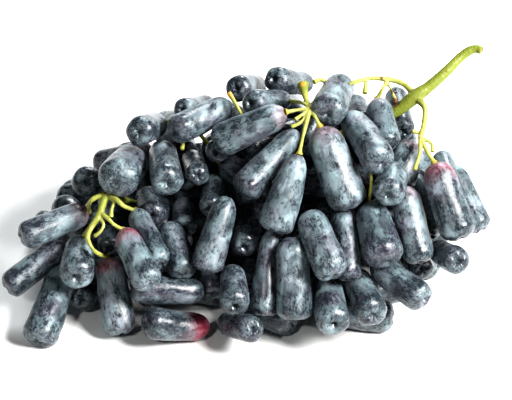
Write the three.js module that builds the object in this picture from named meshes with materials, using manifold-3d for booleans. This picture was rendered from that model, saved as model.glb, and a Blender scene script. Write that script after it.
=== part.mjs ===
// A bunch of long black finger grapes, lying heaped on a table with its stalk standing clear at one end.
// Millimetres, +Z up, +X towards the stalk, -Y towards the front, with the origin under the bunch's middle.
// The stems are one body. The berries are one body for each whorl along the bunch, pressed together there.
import * as THREE from "three";
import { mergeVertices } from "three/addons/utils/BufferGeometryUtils.js";
import Module from "manifold-3d";

const wasm = await Module();
wasm.setup();

// The front view: it looks down on the heap, and places read in it are in its own 512 x 400 frame.
const MM_PER_PX = 0.53;
const VIEW_TILT = THREE.MathUtils.degToRad(38);
const ORIGIN_PX = [250, 262];

// The berries.
const TYPICAL_LENGTH = 40;
const LONGEST = 47;
const FLATTENED = 0.8; // how far the lowest berries are pressed flat on the table
const PRESSED = 1.5; // how far two berries that touch are pressed into each other
const CLEARANCE = 0.3; // between two bodies
const FRONT_SIDES = 8;
const BACK_SIDES = 6;
const HIDDEN_SIDES = 6;

// The face of the heap as the front view shows it, and how far behind it each layer's berries start.
const FACE = { nearest: 78, right: 30, up: 5, fallAcross: 0.0015, fallUp: 0.0043 };
const LAYERS = { deep: 24, lower: 5, upper: 0 };
const PASSES = 120;
const PUSH = 0.25;
const PULL = 0.02;

// The dark heart of the heap, which the berries stand out of: centres and half sizes.
const HEARTS = [
  { centre: [24, 12, 44], half: [70, 34, 36] },
  { centre: [-56, 2, 24], half: [47, 28, 16] },
];
const HEART_SEGMENTS = [12, 8];

// A berry this deep in the heart, or in one that is held, needs no hidden stalk to hold it.
const HOLD = 2;
const LINK_RADIUS = 3.6;
const LINK_SIDES = 4;

// Each berry as it shows in the front view: stem end x, y, tip x, y, and thickness, in the view's pixels.
// The rows go from the ones at the back to the ones that lie over them.
const DEEP_BERRIES = [
  [400, 245, 430, 275, 28],
  [210, 240, 214, 300, 30],
  [150, 250, 148, 306, 30],
  [98, 280, 72, 306, 30],
  [250, 200, 244, 255, 30],
  [252, 246, 249, 294, 28],
  [318, 190, 322, 240, 28],
  [412, 172, 432, 240, 28],
  [358, 158, 366, 205, 24],
  [104, 218, 112, 258, 26],
  [146, 184, 153, 226, 28],
  [181, 196, 186, 236, 24],
  [217, 172, 209, 216, 24],
  [102, 172, 73, 190, 32],
  [188, 148, 201, 184, 24],
  [228, 138, 209, 159, 24],
  [440, 150, 458, 200, 26],
  [352, 92, 368, 135, 28],
  [396, 84, 404, 138, 26],
  [215, 100, 174, 112, 24],
  [268, 82, 226, 90, 28],
  [316, 83, 266, 78, 28],
];
const LOWER_BERRIES = [
  [64, 266, 37, 346, 38],
  [210, 328, 142, 322, 34],
  [214, 322, 262, 330, 29],
  [325, 272, 335, 333, 36],
  [352, 268, 376, 322, 34],
  [372, 262, 427, 302, 32],
  [428, 245, 466, 266, 30],
  [107, 257, 121, 336, 35],
  [232, 262, 236, 313, 31],
  [271, 228, 263, 317, 30],
  [292, 236, 295, 321, 36],
  [64, 244, 5, 290, 31],
  [205, 292, 130, 286, 34],
  [168, 221, 186, 278, 32],
  [134, 209, 163, 268, 28],
  [341, 208, 350, 281, 28],
  [403, 186, 420, 264, 34],
  [368, 200, 386, 266, 42],
  [122, 228, 152, 288, 33],
  [307, 210, 334, 278, 36],
];
const UPPER_BERRIES = [
  [228, 196, 205, 272, 35],
  [88, 211, 19, 238, 30],
  [80, 233, 76, 287, 37],
  [452, 166, 480, 232, 30],
  [434, 163, 461, 240, 38],
  [413, 140, 396, 190, 34],
  [398, 160, 384, 204, 34],
  [141, 147, 108, 192, 42],
  [160, 137, 169, 194, 35],
  [168, 118, 128, 138, 32],
  [298, 130, 240, 195, 35],
  [299, 154, 273, 233, 38],
  [320, 127, 352, 210, 42],
  [377, 97, 388, 152, 32],
  [346, 110, 385, 170, 36],
  [232, 103, 170, 134, 32],
  [293, 99, 243, 104, 28],
  [286, 112, 213, 144, 35],
  [347, 71, 322, 125, 37],
];

// The rest of the heap is an ellipsoid dome that leans to the stalk's side as it rises. Its berries lie in
// rings, one above another, wherever there is room, with their tips out and down. More lie on the table.
const HEAP = { middle: [-8, 12], halfLength: 94, halfDepth: 51, height: 102, lean: 38 };
const BACK_RADIUS = 9;
const BACK_STEP = 3;
const BACK_PRESSED = 2;
const BACK_RINGS = [
  { height: 9, droop: 0.04 },
  { height: 27, droop: 0.4 },
  { height: 44, droop: 0.6 },
  { height: 60, droop: 0.65 },
  { height: 75, droop: 0.6 },
  { height: 87, droop: 0.3 },
];
const RING_START = -0.35;
const RING_END = 3.4;
const FLOOR_ROWS = [-54, -35, -16, 3, 22];
const FLOOR_STEP = 5;
const FLOOR_TURN = 0.6;
const FLOOR_PRESSED = 1.5;
const FLOOR_REACH = { halfLength: 88, middle: -12, halfDepth: 62 };

// The bunch in one body for each whorl, from the tip of the bunch to its stalk: each ends at an x.
const FAR = 1000;
const WHORLS = [
  { name: "berries_tip", to: -62 },
  { name: "berries_lower", to: -14 },
  { name: "berries_middle", to: 34 },
  { name: "berries_upper", to: 80 },
  { name: "berries_shoulder", to: FAR },
];
const MIDDLE = [-2.66, -3.52]; // of the finished bunch, before it is moved to the origin

// The stems as they show in the front view: x, y, thickness, and how far they stand before the heap's face.
// A stem with a berry runs on to the stem end that shows nearest to the berry's own two numbers.
const STALK_SIDES = 7;
const STEM_SIDES = 5;
const STALK_RADIUS = 1.1;
const STALK_FLARE = 2.6;
const STALK_SEAT = 0.9;
const STEMS = [
  // the stalk of the bunch, from its cut end, and the main stem on under the berries
  {
    path: [
      [483, 50, 9, 26], [477, 48, 9, 25], [469, 51, 10, 22], [460, 58, 10, 18], [447, 71, 11, 14],
      [430, 86, 12, 7], [416, 96, 15, 2], [396, 111, 13, -8], [360, 128, 11, -22], [300, 150, 10, -38],
      [230, 180, 9, -52], [175, 202, 8, -60], [140, 204, 7, -44], [116, 198, 8, -12], [106, 195, 10, 5],
    ],
  },
  // the side stem at the back, which ends in a knot of small stalks
  {
    path: [
      [416, 96, 8, 2], [405, 84, 6, 2], [390, 79, 6, 3], [370, 78, 5, 5], [352, 83, 5, 5],
      [336, 91, 5, -2], [322, 94, 5, 4], [315, 102, 6, 12], [310, 109, 7, 14],
    ],
  },
  { path: [[367, 79, 4, 5], [365, 93, 6, 4]] },
  { path: [[388, 79, 5, 3], [384, 87, 4, 4]], berry: [377, 97] },
  { path: [[386, 80, 4, 3], [392, 90, 3, 5], [396, 102, 5, 5]] },
  { path: [[328, 93, 5, 0], [327, 84, 5, 3], [321, 79, 5, 5], [314, 82, 6, 6]] },
  { path: [[310, 109, 5, 14], [306, 99, 6, 13], [304, 90, 9, 12], [303, 84, 13, 12]] },
  { path: [[310, 109, 5, 14], [299, 110, 4, 14]], berry: [286, 112] },
  { path: [[310, 108, 5, 14], [302, 103, 4, 11]], berry: [293, 99] },
  { path: [[310, 109, 5, 14], [306, 124, 5, 16], [302, 140, 4, 14]], berry: [299, 154] },
  { path: [[310, 109, 5, 14], [315, 117, 4, 15]], berry: [320, 127] },
  { path: [[309, 110, 4, 14], [302, 115, 4, 15], [295, 120, 5, 15]] },
  { path: [[308, 114, 4, 15], [300, 123, 4, 15], [291, 127, 5, 14]] },
  // the side stem by the stalk
  { path: [[418, 98, 9, 2], [425, 108, 6, 5], [424, 124, 6, 8], [420, 138, 6, 9]] },
  { path: [[420, 138, 5, 9], [426, 150, 5, 10]], berry: [434, 163] },
  { path: [[420, 138, 5, 9], [431, 143, 4, 9], [432, 152, 5, 9]] },
  { path: [[420, 138, 5, 9], [419, 154, 4, 10], [414, 170, 5, 10]] },
  { path: [[421, 134, 4, 8], [412, 131, 5, 8]] },
  // stalks further down the main stem
  { path: [[360, 128, 8, -22], [367, 158, 5, -5], [371, 178, 4, 4]], berry: [368, 200] },
  {
    path: [
      [300, 150, 7, -38], [270, 136, 5, -24], [250, 123, 4, -8], [241, 113, 4, 4], [236, 104, 4, 9],
      [229, 93, 6, 9],
    ],
  },
  {
    path: [[230, 180, 6, -52], [206, 142, 5, -28], [190, 124, 4, -12], [179, 119, 4, 1]],
    berry: [168, 118],
  },
  { path: [[190, 124, 4, -12], [184, 138, 4, -9], [182, 149, 5, -5]] },
  // the knot of small stalks near the tip of the bunch
  { path: [[106, 195, 8, 5], [97, 197, 6, 8], [90, 202, 5, 7]], berry: [88, 211] },
  { path: [[106, 195, 8, 5], [117, 200, 6, 9], [124, 206, 5, 8]], berry: [134, 209] },
  { path: [[107, 196, 6, 6], [114, 201, 4, 8], [112, 209, 4, 8], [111, 217, 6, 7]] },
  {
    path: [[106, 195, 11, 5], [103, 204, 8, 8], [100, 214, 8, 10], [95, 222, 7, 11], [89, 230, 6, 9]],
    berry: [80, 233],
  },
  { path: [[94, 223, 6, 11], [88, 236, 6, 13], [92, 247, 4, 12], [98, 253, 5, 11]], berry: [107, 257] },
  { path: [[101, 213, 6, 10], [108, 218, 5, 12], [114, 224, 4, 12]], berry: [122, 228] },
  { path: [[99, 217, 5, 10], [104, 224, 4, 12], [101, 231, 4, 12], [95, 236, 5, 11]] },
];

const cosTilt = Math.cos(VIEW_TILT);
const sinTilt = Math.sin(VIEW_TILT);

// A place in the front view is a vector of right, up and nearer. This turns it to the part's own axes.
const fromView = ({ x, y, z }) =>
  new THREE.Vector3(x, y * sinTilt - z * cosTilt, y * cosTilt + z * sinTilt);

const placeInView = (x, y) =>
  new THREE.Vector3((x - ORIGIN_PX[0]) * MM_PER_PX, (ORIGIN_PX[1] - y) * MM_PER_PX, 0);

// How near to the viewer the face of the heap is, at a place in the front view.
const faceAt = ({ x, y }) =>
  FACE.nearest - FACE.fallAcross * (x - FACE.right) ** 2 - FACE.fallUp * (y - FACE.up) ** 2;

// A berry is the line between the centres of its two round ends, and a radius.
function berryInView([stemX, stemY, tipX, tipY, thickness], layer, sides = FRONT_SIDES) {
  const radius = (thickness * MM_PER_PX) / 2;
  const shown = Math.hypot(tipX - stemX, tipY - stemY);
  const inset = Math.min(thickness / 2, shown / 2 - 1) / shown;
  const stem = placeInView(stemX + (tipX - stemX) * inset, stemY + (tipY - stemY) * inset);
  const tip = placeInView(tipX - (tipX - stemX) * inset, tipY - (tipY - stemY) * inset);
  const shownCore = tip.distanceTo(stem);
  const leanFor = (length) => Math.sqrt(Math.max(0, (length - 2 * radius) ** 2 - shownCore ** 2));
  const lean = leanFor(TYPICAL_LENGTH);
  const near = faceAt(stem.clone().lerp(tip, 0.5)) - layer;
  stem.z = near - lean / 2;
  tip.z = near + lean / 2;
  return { stem, tip, radius, sides, near, lean, mostLean: leanFor(LONGEST) };
}

// The shortest way between two line segments: its length, and how far along each segment it starts.
function shortestWay(a, b, c, d) {
  const u = b.clone().sub(a);
  const v = d.clone().sub(c);
  const w = a.clone().sub(c);
  const uu = u.dot(u);
  const uv = u.dot(v);
  const vv = v.dot(v);
  const uw = u.dot(w);
  const vw = v.dot(w);
  const parallel = uu * vv - uv * uv;
  const clamp = (x) => Math.min(1, Math.max(0, x));
  let s = parallel > 1e-9 ? clamp((uv * vw - vv * uw) / parallel) : 0;
  const t = clamp((uv * s + vw) / vv);
  s = clamp((uv * t - uw) / uu);
  return { length: w.add(u.multiplyScalar(s)).sub(v.multiplyScalar(t)).length(), s, t };
}

const overlap = (berry, other) =>
  berry.radius + other.radius - shortestWay(berry.stem, berry.tip, other.stem, other.tip).length;

// Berries keep their places in the front view, and are pushed nearer or further till they lie clear.
function pushApart(front, back) {
  const { length, s, t } = shortestWay(front.stem, front.tip, back.stem, back.tip);
  const push = PUSH * (front.radius + back.radius - PRESSED - length);
  if (push <= 0) return;
  front.stem.z += push * (1 - s);
  front.tip.z += push * s;
  back.stem.z -= push * (1 - t);
  back.tip.z -= push * t;
}

function pullBack({ stem, tip, radius, near, lean, mostLean }) {
  const middle = (stem.z + tip.z) / 2;
  const newMiddle = middle + PULL * (near - middle);
  const newLean = tip.z - stem.z + PULL * (lean - tip.z + stem.z);
  const half = Math.max(-mostLean, Math.min(mostLean, newLean)) / 2;
  const table = (up) => (radius - FLATTENED - up * cosTilt) / sinTilt;
  stem.z = Math.max(newMiddle - half, table(stem.y));
  tip.z = Math.max(newMiddle + half, table(tip.y));
}

const shown = [
  ...DEEP_BERRIES.map((row) => berryInView(row, LAYERS.deep, HIDDEN_SIDES)),
  ...LOWER_BERRIES.map((row) => berryInView(row, LAYERS.lower)),
  ...UPPER_BERRIES.map((row) => berryInView(row, LAYERS.upper)),
];
for (let pass = 0; pass < PASSES; pass++) {
  shown.forEach((front, i) => shown.slice(0, i).forEach((back) => pushApart(front, back)));
  shown.forEach(pullBack);
}
const berries = shown.map(({ stem, tip, radius, sides }) => ({
  stem: fromView(stem),
  tip: fromView(tip),
  radius,
  sides,
}));

const crowded = (berry, pressed) => berries.some((other) => overlap(berry, other) > pressed);

// Random numbers from 0 to 1, the same on each run.
let seed = 7;
function random() {
  seed = (seed * 1664525 + 1013904223) % 4294967296;
  return seed / 4294967296;
}
const jitter = (most) => most * (2 * random() - 1);

const directionOf = (heading, rise) =>
  new THREE.Vector3(
    Math.cos(rise) * Math.cos(heading),
    Math.cos(rise) * Math.sin(heading),
    Math.sin(rise),
  );

function berryAt(centre, direction, radius, sides) {
  const half = TYPICAL_LENGTH / 2 - radius;
  return {
    stem: centre.clone().addScaledVector(direction, -half),
    tip: centre.clone().addScaledVector(direction, half),
    radius,
    sides,
  };
}

// The back and the ends.
for (const ring of BACK_RINGS) {
  const level = Math.sqrt(1 - (ring.height / HEAP.height) ** 2);
  const along = HEAP.halfLength * level;
  const across = HEAP.halfDepth * level;
  for (let angle = RING_START; angle < RING_END; ) {
    const heading = Math.atan2(Math.sin(angle) / across, Math.cos(angle) / along);
    const centre = new THREE.Vector3(
      HEAP.middle[0] + HEAP.lean * (ring.height / HEAP.height) + along * Math.cos(angle),
      HEAP.middle[1] + across * Math.sin(angle),
      ring.height + jitter(2),
    );
    const direction = directionOf(heading + jitter(0.3), -ring.droop + jitter(0.15));
    const berry = berryAt(centre, direction, BACK_RADIUS + jitter(0.9), BACK_SIDES);
    if (!crowded(berry, BACK_PRESSED)) berries.push(berry);
    angle += BACK_STEP / Math.hypot(along * Math.sin(angle), across * Math.cos(angle));
  }
}

// The underside.
for (const y of FLOOR_ROWS) {
  for (let x = -FLOOR_REACH.halfLength; x <= FLOOR_REACH.halfLength; x += FLOOR_STEP) {
    const centre = new THREE.Vector3(x, y + jitter(2), BACK_RADIUS - FLATTENED);
    const berry = berryAt(centre, directionOf(jitter(FLOOR_TURN), 0), BACK_RADIUS, HIDDEN_SIDES);
    const inLength = x / FLOOR_REACH.halfLength;
    const inDepth = (y - FLOOR_REACH.middle) / FLOOR_REACH.halfDepth;
    const beneath = inLength ** 2 + inDepth ** 2 < 1;
    if (beneath && !crowded(berry, FLOOR_PRESSED)) berries.push(berry);
  }
}

// A berry's outline from stem end to tip: [share of the radius, distance from the near end in radii].
const STEM_END = [
  [0, 0],
  [0.66, 0.16],
  [0.97, 0.7],
];
const TIP_END = [
  [1, 0.6],
  [0.74, 0.1],
  [0, 0.1],
];

function berryGeometry(berry, grow) {
  const axis = berry.tip.clone().sub(berry.stem);
  const radius = berry.radius + grow;
  const length = axis.length() + 2 * radius;
  const facetRadius = (radius * 2) / (1 + Math.cos(Math.PI / berry.sides));
  const profile = [
    ...STEM_END.map(([across, along]) => new THREE.Vector2(across * facetRadius, along * radius)),
    ...TIP_END.map(([across, along]) => new THREE.Vector2(across * facetRadius, length - along * radius)),
  ];
  const geometry = new THREE.LatheGeometry(profile, berry.sides);
  geometry.translate(0, -radius, 0);
  const turn = new THREE.Quaternion().setFromUnitVectors(new THREE.Vector3(0, 1, 0), axis.normalize());
  return geometry.applyQuaternion(turn).translate(...berry.stem.toArray());
}

function solidOf(geometry) {
  geometry.deleteAttribute("normal");
  geometry.deleteAttribute("uv");
  const merged = mergeVertices(geometry, 1e-3);
  return new wasm.Manifold(
    new wasm.Mesh({
      numProp: 3,
      vertProperties: merged.attributes.position.array,
      triVerts: new Uint32Array(merged.index.array),
    }),
  );
}

function meshOf(name, solid, material) {
  const { vertProperties, triVerts } = solid.getMesh();
  const geometry = new THREE.BufferGeometry();
  geometry.setAttribute("position", new THREE.BufferAttribute(vertProperties, 3));
  geometry.setIndex(new THREE.BufferAttribute(triVerts, 1));
  geometry.computeVertexNormals();
  const mesh = new THREE.Mesh(geometry, material);
  mesh.name = name;
  return mesh;
}

// A tube through rings of points, which are given as places with a radius.
function tubeSolid(places, grow, sides) {
  const positions = [];
  const index = [];
  places.forEach(({ at, radius }, i) => {
    const before = places[Math.max(0, i - 1)].at;
    const after = places[Math.min(places.length - 1, i + 1)].at;
    const along = after.clone().sub(before).normalize();
    const turn = new THREE.Quaternion().setFromUnitVectors(new THREE.Vector3(0, 1, 0), along);
    const end = i === 0 ? -grow : i === places.length - 1 ? grow : 0;
    for (let side = 0; side < sides; side++) {
      const angle = (side / sides) * 2 * Math.PI;
      const point = new THREE.Vector3(Math.cos(angle), 0, -Math.sin(angle)).multiplyScalar(radius + grow);
      point.y = end;
      positions.push(...point.applyQuaternion(turn).add(at).toArray());
    }
  });
  const last = (places.length - 1) * sides;
  for (let side = 0; side < sides; side++) {
    const next = (side + 1) % sides;
    for (let ring = 0; ring < last; ring += sides) {
      index.push(ring + side, ring + next, ring + sides + next);
      index.push(ring + side, ring + sides + next, ring + sides + side);
    }
    if (side > 0 && next > 0) index.push(0, next, side, last, last + side, last + next);
  }
  const vertProperties = new Float32Array(positions);
  return new wasm.Manifold(new wasm.Mesh({ numProp: 3, vertProperties, triVerts: new Uint32Array(index) }));
}

// The middle of a berry's stem end.
const stemEnd = ({ stem, tip, radius }) =>
  stem.clone().addScaledVector(tip.clone().sub(stem).normalize(), -radius * STALK_SEAT);

// The stem end that shows nearest to a pixel of the front view.
function stemEndAt(x, y) {
  const wanted = placeInView(x, y);
  const inView = ({ x, y, z }) => new THREE.Vector3(x, y * sinTilt + z * cosTilt, 0);
  const ends = berries.slice(0, shown.length).map(stemEnd);
  const miss = (end) => inView(end).distanceTo(wanted);
  return ends.reduce((best, end) => (miss(end) < miss(best) ? end : best));
}

function stemPlaces({ path, berry }) {
  const places = path.map(([x, y, thickness, over]) => {
    const place = placeInView(x, y);
    place.z = faceAt(place) + over;
    return { at: fromView(place), radius: (thickness * MM_PER_PX) / 2 };
  });
  if (berry) {
    const end = stemEndAt(...berry);
    const from = places[places.length - 1];
    places.push({ at: from.at.clone().lerp(end, 0.72), radius: STALK_RADIUS });
    places.push({ at: end, radius: STALK_FLARE });
  }
  return places;
}

const allStems = STEMS.map(stemPlaces);
const stemSolids = (grow) =>
  wasm.Manifold.union(
    allStems.map((places, i) => tubeSolid(places, grow, i === 0 ? STALK_SIDES : STEM_SIDES)),
  );
const stems = stemSolids(0);
const stemRoom = stemSolids(CLEARANCE);

const heart = wasm.Manifold.union(
  HEARTS.map(({ centre, half }) =>
    solidOf(
      new THREE.SphereGeometry(1, ...HEART_SEGMENTS)
        .rotateX(Math.PI / 2)
        .scale(...half)
        .translate(...centre),
    ),
  ),
);

const middleOf = ({ stem, tip }) => stem.clone().lerp(tip, 0.5);
const whorlOf = (berry) => WHORLS.findIndex(({ to }) => middleOf(berry).x < to);

// Whether a berry reaches far enough into the heart to hold on to it.
const holdsOn = ({ stem, tip, radius }) =>
  HEARTS.some(({ centre, half }) =>
    [0, 0.25, 0.5, 0.75, 1].some((share) => {
      const place = stem.clone().lerp(tip, share).sub(new THREE.Vector3(...centre));
      return place.divide(new THREE.Vector3(...half).addScalar(radius - HOLD)).length() < 1;
    }),
  );

// The hidden stalks of a whorl. Each joins a berry that nothing holds to the nearest one that is held.
function linkSolids(own) {
  const held = own.filter(holdsOn);
  const loose = own.filter((berry) => !holdsOn(berry));
  const links = [];
  while (loose.length > 0) {
    let best = { gap: Infinity };
    for (const berry of loose) {
      for (const other of held) {
        const { length, s, t } = shortestWay(berry.stem, berry.tip, other.stem, other.tip);
        const gap = length - berry.radius - other.radius;
        if (gap < best.gap) best = { gap, berry, other, s, t };
      }
    }
    const { gap, berry, other, s, t } = best;
    const ends = [berry.stem.clone().lerp(berry.tip, s), other.stem.clone().lerp(other.tip, t)];
    if (gap > -HOLD) links.push(tubeSolid(ends.map((at) => ({ at, radius: LINK_RADIUS })), 0, LINK_SIDES));
    held.push(berry);
    loose.splice(loose.indexOf(berry), 1);
  }
  return links;
}

const unionOf = (list, grow) =>
  wasm.Manifold.union(list.map((berry) => solidOf(berryGeometry(berry, grow))));

// One whorl: its berries and its share of the heart, less the room that the stems and other whorls need.
function whorlSolid(number) {
  const { to } = WHORLS[number];
  const from = number === 0 ? -FAR : WHORLS[number - 1].to;
  const own = berries.filter((berry) => whorlOf(berry) === number);
  const others = berries.filter((berry) => Math.abs(whorlOf(berry) - number) === 1);
  const earlier = berries.filter((berry) => whorlOf(berry) < number);
  const core = wasm.Manifold.union([heart, ...linkSolids(own)])
    .trimByPlane([1, 0, 0], from + CLEARANCE / 2)
    .trimByPlane([-1, 0, 0], CLEARANCE / 2 - to)
    .subtract(unionOf(others, CLEARANCE));
  const pressed = unionOf(own, 0);
  const room = earlier.length ? pressed.subtract(unionOf(earlier, CLEARANCE)) : pressed;
  const bodies = room.add(core).subtract(stemRoom).trimByPlane([0, 0, 1], 0).decompose();
  bodies.sort((a, b) => b.volume() - a.volume());
  return bodies[0];
}

const skin = new THREE.MeshStandardMaterial({ color: 0x2a3140, roughness: 0.55, metalness: 0 });
const stalk = new THREE.MeshStandardMaterial({ color: 0xa3a83c, roughness: 0.6, metalness: 0 });
const bunch = new THREE.Group();
bunch.add(meshOf("stems", stems, stalk));
WHORLS.forEach(({ name }, number) => bunch.add(meshOf(name, whorlSolid(number), skin)));
bunch.position.set(-MIDDLE[0], -MIDDLE[1], 0);
export default bunch;
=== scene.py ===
"""A bunch of long black finger grapes, lying heaped on a table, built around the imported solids."""
import functools
import math
import random

import bpy
import numpy as np
from bpy.props import FloatProperty, FloatVectorProperty, IntProperty, PointerProperty
from bpy.types import Operator, Panel, PropertyGroup
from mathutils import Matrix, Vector, noise
from mathutils.kdtree import KDTree


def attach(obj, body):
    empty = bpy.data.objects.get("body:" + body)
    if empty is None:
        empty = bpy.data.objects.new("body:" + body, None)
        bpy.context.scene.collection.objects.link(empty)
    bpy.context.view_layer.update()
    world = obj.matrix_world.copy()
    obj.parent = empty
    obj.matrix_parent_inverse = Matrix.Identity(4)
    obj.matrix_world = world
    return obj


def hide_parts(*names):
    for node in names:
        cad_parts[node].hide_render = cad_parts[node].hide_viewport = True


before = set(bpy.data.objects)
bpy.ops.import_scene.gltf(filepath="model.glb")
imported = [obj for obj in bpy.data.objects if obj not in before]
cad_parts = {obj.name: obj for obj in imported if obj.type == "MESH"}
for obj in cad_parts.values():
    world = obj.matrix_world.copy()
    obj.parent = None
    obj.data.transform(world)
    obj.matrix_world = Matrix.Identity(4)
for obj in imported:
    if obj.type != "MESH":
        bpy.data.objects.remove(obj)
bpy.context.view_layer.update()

bl_info = {
    "name": "Bunch of Long Black Grapes",
    "version": (1, 0, 0),
    "blender": (4, 5, 0),
    "location": "View3D > Sidebar > Grapes",
    "description": "Builds a bunch of long black finger grapes lying heaped on a table",
    "category": "Object",
}

MM = 0.001

# The lie of the bunch, the same as in the part's solids, in millimetres.

# The front view: it looks down on the heap, and places read in it are in its own 512 x 400 frame.
VIEW_SIZE_PX = (512, 400)
MM_PER_PX = 0.53
VIEW_TILT = math.radians(38)
ORIGIN_PX = (250, 262)
MIDDLE = (-2.66, -3.52)

TYPICAL_LENGTH = 40
LONGEST = 47
FLATTENED = 0.8
PRESSED = 1.5

# The face of the heap as the front view shows it, and how far behind it each layer's berries start.
FACE_NEAREST = 78
FACE_RIGHT = 30
FACE_UP = 5
FACE_FALL_ACROSS = 0.0015
FACE_FALL_UP = 0.0043
PASSES = 120
PUSH = 0.25
PULL = 0.02

# Each berry as it shows in the front view: stem end x, y, tip x, y, and thickness, in the view's pixels,
# then its blush, from 0 to 1, and its bloom, from 0, all rubbed off, to 1.
DEEP_BERRIES = [
    (400, 245, 430, 275, 28, 0.0, 0.4),
    (210, 240, 214, 300, 30, 0.0, 0.4),
    (150, 250, 148, 306, 30, 0.1, 0.4),
    (98, 280, 72, 306, 30, 0.0, 0.35),
    (250, 200, 244, 255, 30, 0.0, 0.35),
    (252, 246, 249, 294, 28, 0.0, 0.45),
    (318, 190, 322, 240, 28, 0.0, 0.4),
    (412, 172, 432, 240, 28, 0.2, 0.35),
    (358, 158, 366, 205, 24, 0.7, 0.3),
    (104, 218, 112, 258, 26, 0.2, 0.4),
    (146, 184, 153, 226, 28, 0.15, 0.45),
    (181, 196, 186, 236, 24, 0.2, 0.55),
    (217, 172, 209, 216, 24, 0.0, 0.55),
    (102, 172, 73, 190, 32, 1.1, 0.55),
    (188, 148, 201, 184, 24, 0.0, 0.6),
    (228, 138, 209, 159, 24, 0.1, 0.6),
    (440, 150, 458, 200, 26, 0.1, 0.75),
    (352, 92, 368, 135, 28, 0.25, 0.6),
    (396, 84, 404, 138, 26, 0.0, 0.6),
    (215, 100, 174, 112, 24, 0.2, 0.6),
    (268, 82, 226, 90, 28, 0.1, 0.5),
    (316, 83, 266, 78, 28, 0.45, 0.6),
]
LOWER_BERRIES = [
    (64, 266, 37, 346, 38, 0.0, 0.65),
    (210, 328, 142, 322, 34, 1.5, 0.45),
    (214, 322, 262, 330, 29, 0.0, 0.5),
    (325, 272, 335, 333, 36, 0.0, 0.7),
    (352, 268, 376, 322, 34, 0.0, 0.65),
    (372, 262, 427, 302, 32, 0.1, 0.65),
    (428, 245, 466, 266, 30, 0.0, 0.6),
    (107, 257, 121, 336, 35, 0.8, 0.85),
    (232, 262, 236, 313, 31, 0.1, 0.6),
    (271, 228, 263, 317, 30, 0.15, 0.65),
    (292, 236, 295, 321, 36, 0.0, 0.75),
    (64, 244, 5, 290, 31, 0.1, 0.55),
    (205, 292, 130, 286, 34, 0.1, 0.5),
    (168, 221, 186, 278, 32, 0.0, 0.6),
    (134, 209, 163, 268, 28, 0.2, 0.65),
    (341, 208, 350, 281, 28, 0.1, 0.65),
    (403, 186, 420, 264, 34, 0.45, 0.65),
    (368, 200, 386, 266, 42, 0.0, 0.6),
    (122, 228, 152, 288, 33, 1.05, 0.75),
    (307, 210, 334, 278, 36, 0.0, 0.7),
]
UPPER_BERRIES = [
    (228, 196, 205, 272, 35, 0.0, 0.6),
    (88, 211, 19, 238, 30, 0.6, 0.75),
    (80, 233, 76, 287, 37, 0.0, 0.7),
    (452, 166, 480, 232, 30, 0.1, 0.7),
    (434, 163, 461, 240, 38, 0.85, 0.6),
    (413, 140, 396, 190, 34, 0.5, 0.7),
    (398, 160, 384, 204, 34, 0.0, 0.7),
    (141, 147, 108, 192, 42, 0.1, 0.75),
    (160, 137, 169, 194, 35, 0.1, 0.65),
    (168, 118, 128, 138, 32, 0.45, 0.55),
    (298, 130, 240, 195, 35, 0.0, 0.7),
    (299, 154, 273, 233, 38, 0.15, 0.8),
    (320, 127, 352, 210, 42, 0.4, 0.8),
    (377, 97, 388, 152, 32, 0.4, 0.75),
    (346, 110, 385, 170, 36, 0.0, 0.75),
    (232, 103, 170, 134, 32, 0.1, 0.7),
    (293, 99, 243, 104, 28, 0.3, 0.7),
    (286, 112, 213, 144, 35, 0.35, 0.7),
    (347, 71, 322, 125, 37, 0.0, 0.75),
]
LAYERS = [(DEEP_BERRIES, 24), (LOWER_BERRIES, 5), (UPPER_BERRIES, 0)]

# Berries that are clearly slimmer at the stem end, by its place.
SLIM_BERRIES = {(299, 154), (298, 130), (228, 196), (271, 228), (358, 158)}

# The rest of the heap: an ellipsoid dome with berries in rings, and berries that lie on the table.
HEAP_MIDDLE = (-8, 12)
HEAP_HALF_LENGTH = 94
HEAP_HALF_DEPTH = 51
HEAP_HEIGHT = 102
HEAP_LEAN = 38
BACK_RADIUS = 9
BACK_STEP = 3
BACK_PRESSED = 2
BACK_RINGS = [(9, 0.04), (27, 0.4), (44, 0.6), (60, 0.65), (75, 0.6), (87, 0.3)]
RING_START = -0.35
RING_END = 3.4
FLOOR_ROWS = [-54, -35, -16, 3, 22]
FLOOR_STEP = 5
FLOOR_TURN = 0.6
FLOOR_PRESSED = 1.5
FLOOR_HALF_LENGTH = 88
FLOOR_MIDDLE = -12
FLOOR_HALF_DEPTH = 62

# The inside of the heap, where berries lie that hardly show: centres and half sizes.
HEARTS = [((24, 12, 44), (70, 34, 36)), ((-56, 2, 24), (47, 28, 16)), ((80, 20, 26), (22, 24, 15))]
INNER_STEP = 6
INNER_RADIUS = 9
INNER_PRESSED = 7
INNER_FILL = 0.8
INNER_SEED = 11
# Blush and bloom of the berries inside, and the least and most of those at the back.
INNER_LOOKS = (0.1, 0.4)
BACK_BLUSH = (-0.5, 0.6)
BACK_BLOOM = (0.5, 0.85)
BACK_SEED = 7
LOOKS_SEED = 5
SHAPE_SEED = 3

# The pieces of berries, from the tip of the bunch to its stalk: each ends at an x.
WHORLS = [
    ("tip_berries", "berries_tip", -62),
    ("lower_berries", "berries_lower", -14),
    ("middle_berries", "berries_middle", 34),
    ("upper_berries", "berries_upper", 80),
    ("shoulder_berries", "berries_shoulder", 1000),
]

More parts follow.
